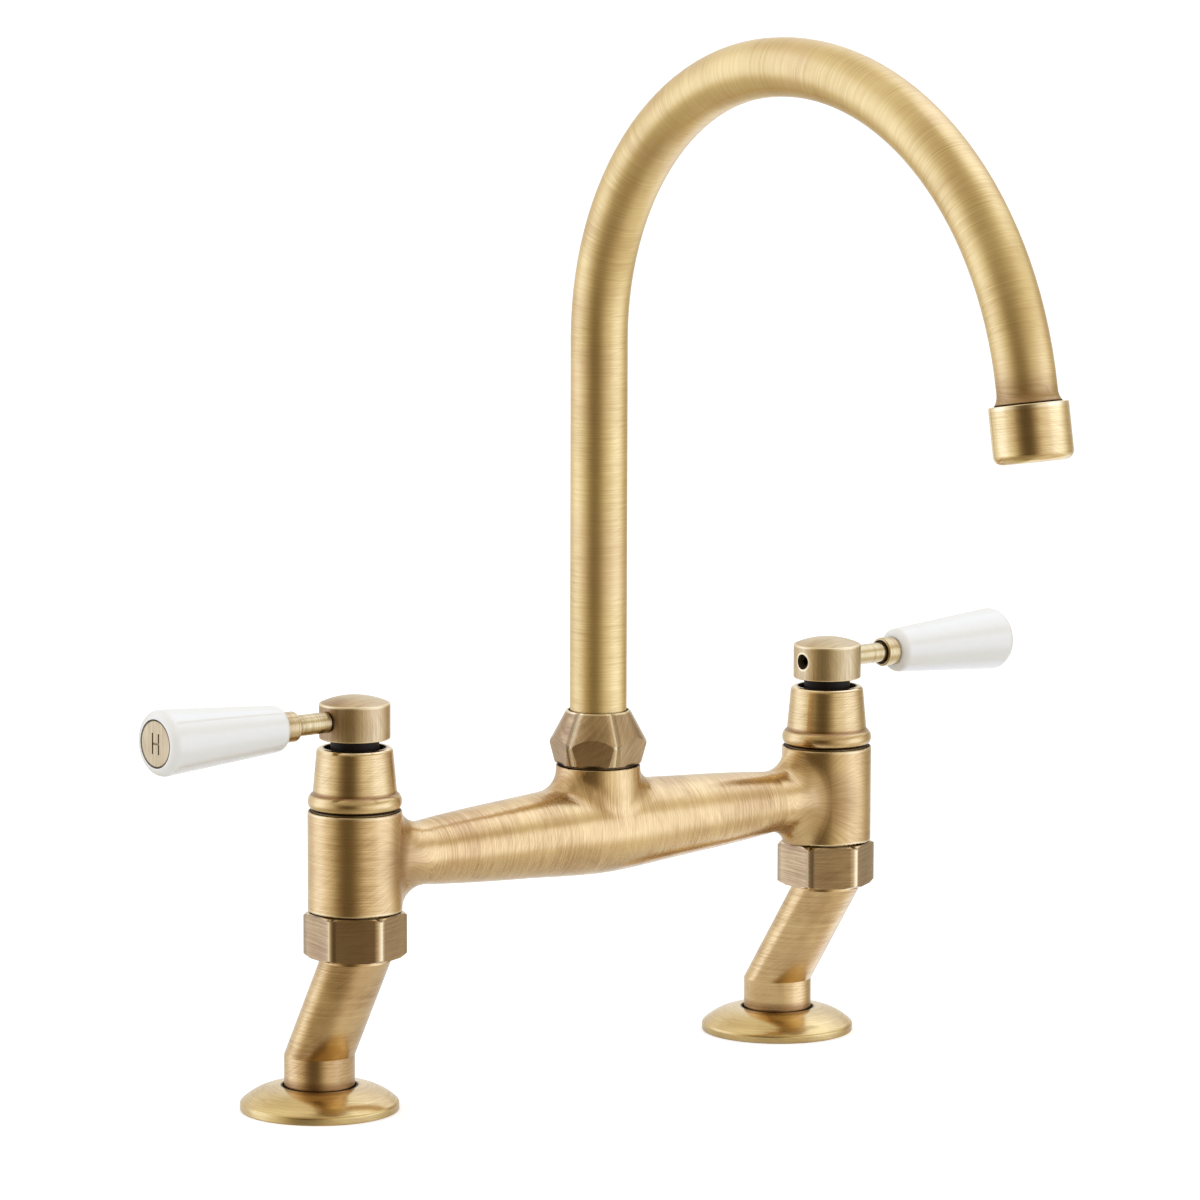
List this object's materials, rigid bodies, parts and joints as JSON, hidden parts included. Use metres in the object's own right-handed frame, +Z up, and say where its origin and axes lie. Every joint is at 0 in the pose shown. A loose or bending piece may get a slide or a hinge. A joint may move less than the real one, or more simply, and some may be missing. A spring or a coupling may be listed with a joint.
{
  "type": "bridge kitchen faucet",
  "caption": "Bridge kitchen tap: a crossbar between valve columns carries a swivelling swan-neck spout; lever handles have tapered ceramic grips; cranked legs stand on domed deck flanges.",
  "frame": {"origin": "on the deck plane, midway between the two threaded tails", "axes": "+Z up, X along the bridge from the hot side (-X) to the cold side (+X), the spout reaches towards -Y"},
  "size_m": [0.3266, 0.2399, 0.37],
  "materials": {
    "brushed_brass": "antique brushed brass, lacquered",
    "plain_brass": "machined, unpolished",
    "white_ceramic": "glazed white ceramic",
    "ceramic_disc": "lapped alumina ceramic",
    "black_plastic": "moulded, glossy",
    "rubber": "matt black",
    "steel": "zinc plated"
  },
  "bodies": {
    "bridge": {"bridge_body": "brushed_brass", "spout_nut": "brushed_brass", "hot_cartridge_body": "plain_brass", "hot_fixed_disc": "ceramic_disc", "hot_seat_seal": "rubber", "hot_bonnet": "brushed_brass", "hot_union_nut": "brushed_brass", "hot_union_washer": "rubber", "cold_cartridge_body": "plain_brass", "cold_fixed_disc": "ceramic_disc", "cold_seat_seal": "rubber", "cold_bonnet": "brushed_brass", "cold_union_nut": "brushed_brass", "cold_union_washer": "rubber"},
    "spout": {"swivel_ring": "black_plastic", "spout_tail": "plain_brass", "spout_tube": "brushed_brass", "spout_seals": "rubber", "aerator_housing": "brushed_brass", "aerator_washer": "rubber", "aerator_insert": "black_plastic"},
    "hot_lever": {"hot_spindle": "plain_brass", "hot_spindle_seals": "rubber", "hot_turning_disc": "ceramic_disc", "hot_neck_sleeve": "black_plastic", "hot_lever_hub": "brushed_brass", "hot_grub_screw": "steel", "hot_lever_stem": "brushed_brass", "hot_grip": "white_ceramic", "hot_index_cap": "brushed_brass"},
    "hot_leg_set": {"hot_leg": "brushed_brass", "hot_flange": "brushed_brass", "hot_gasket": "rubber", "hot_backnut_washer": "steel", "hot_backnut": "plain_brass"},
    "cold_lever": {"cold_spindle": "plain_brass", "cold_spindle_seals": "rubber", "cold_turning_disc": "ceramic_disc", "cold_neck_sleeve": "black_plastic", "cold_lever_hub": "brushed_brass", "cold_grub_screw": "steel", "cold_lever_stem": "brushed_brass", "cold_grip": "white_ceramic", "cold_index_cap": "brushed_brass"},
    "cold_leg_set": {"cold_leg": "brushed_brass", "cold_flange": "brushed_brass", "cold_gasket": "rubber", "cold_backnut_washer": "steel", "cold_backnut": "plain_brass"}
  },
  "joints": [
    {"name": "spout_swivel", "type": "hinge", "parent": "bridge", "child": "spout", "pos_m": [0, -0.0196, 0.103], "axis": [0, 0, 1], "continuous": true},
    {"name": "hot_lever_turn", "type": "hinge", "parent": "bridge", "child": "hot_lever", "pos_m": [-0.092, -0.0196, 0.0716], "axis": [0, 0, 1], "range_deg": [0, 90]},
    {"name": "cold_lever_turn", "type": "hinge", "parent": "bridge", "child": "cold_lever", "pos_m": [0.092, -0.0196, 0.0716], "axis": [0, 0, 1], "range_deg": [-90, 0]},
    {"name": "hot_leg_swivel", "type": "hinge", "parent": "bridge", "child": "hot_leg_set", "pos_m": [-0.092, -0.0196, 0.0549], "axis": [0, 0, 1], "range_deg": [-90, 90]},
    {"name": "cold_leg_swivel", "type": "hinge", "parent": "bridge", "child": "cold_leg_set", "pos_m": [0.092, -0.0196, 0.0549], "axis": [0, 0, 1], "range_deg": [-90, 90]}
  ]
}
